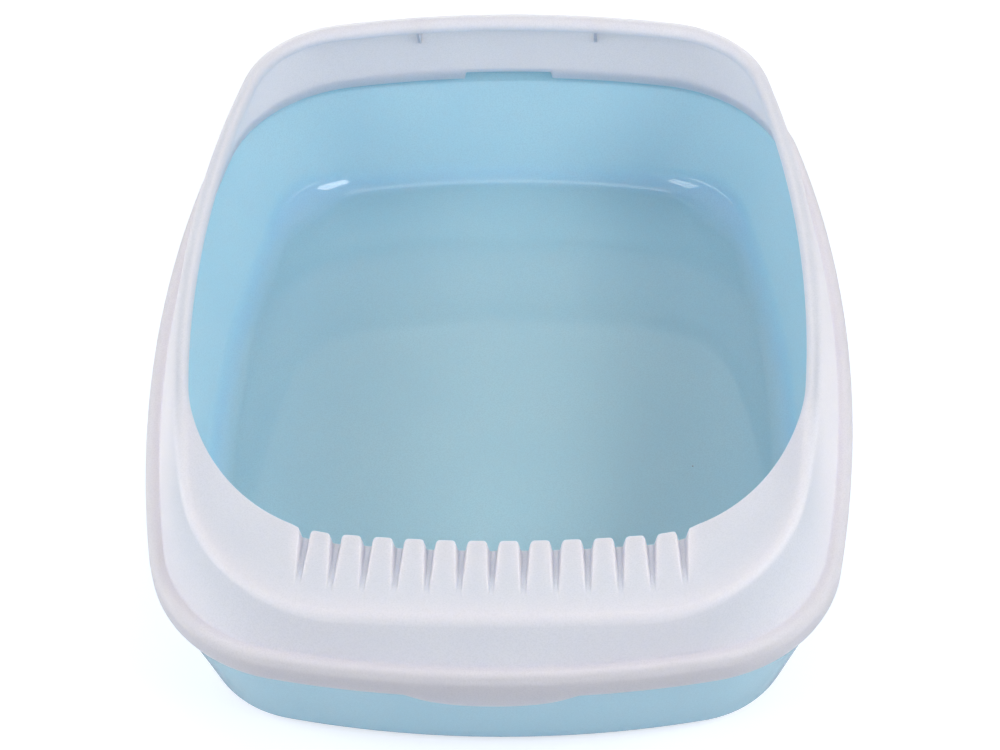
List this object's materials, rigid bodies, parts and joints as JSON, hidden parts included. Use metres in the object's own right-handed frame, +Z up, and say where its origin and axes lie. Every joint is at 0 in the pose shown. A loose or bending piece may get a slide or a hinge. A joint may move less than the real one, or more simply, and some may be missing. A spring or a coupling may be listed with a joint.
{
  "type": "litter box",
  "caption": "Open-top litter box: a deep drafted tub with a lift-off surround that has a rolled lip, leaning walls and a low ribbed entry deck.",
  "frame": {"origin": "on the ground below the middle of the flange's outline", "axes": "+Z up, +Y from the low entry at the front towards the back, X across; symmetric about the plane X = 0"},
  "size_m": [0.385, 0.48, 0.1341],
  "materials": {
    "tub_plastic": "smooth satin moulding, pale blue",
    "surround_plastic": "fine satin moulding, cool white"
  },
  "bodies": {
    "tub": {"tub": "tub_plastic"},
    "surround": {"surround": "surround_plastic"}
  },
  "joints": [
    {"name": "surround_lift", "type": "slide", "parent": "tub", "child": "surround", "axis": [0, 0, 1], "range_m": [0, 0.12]}
  ]
}
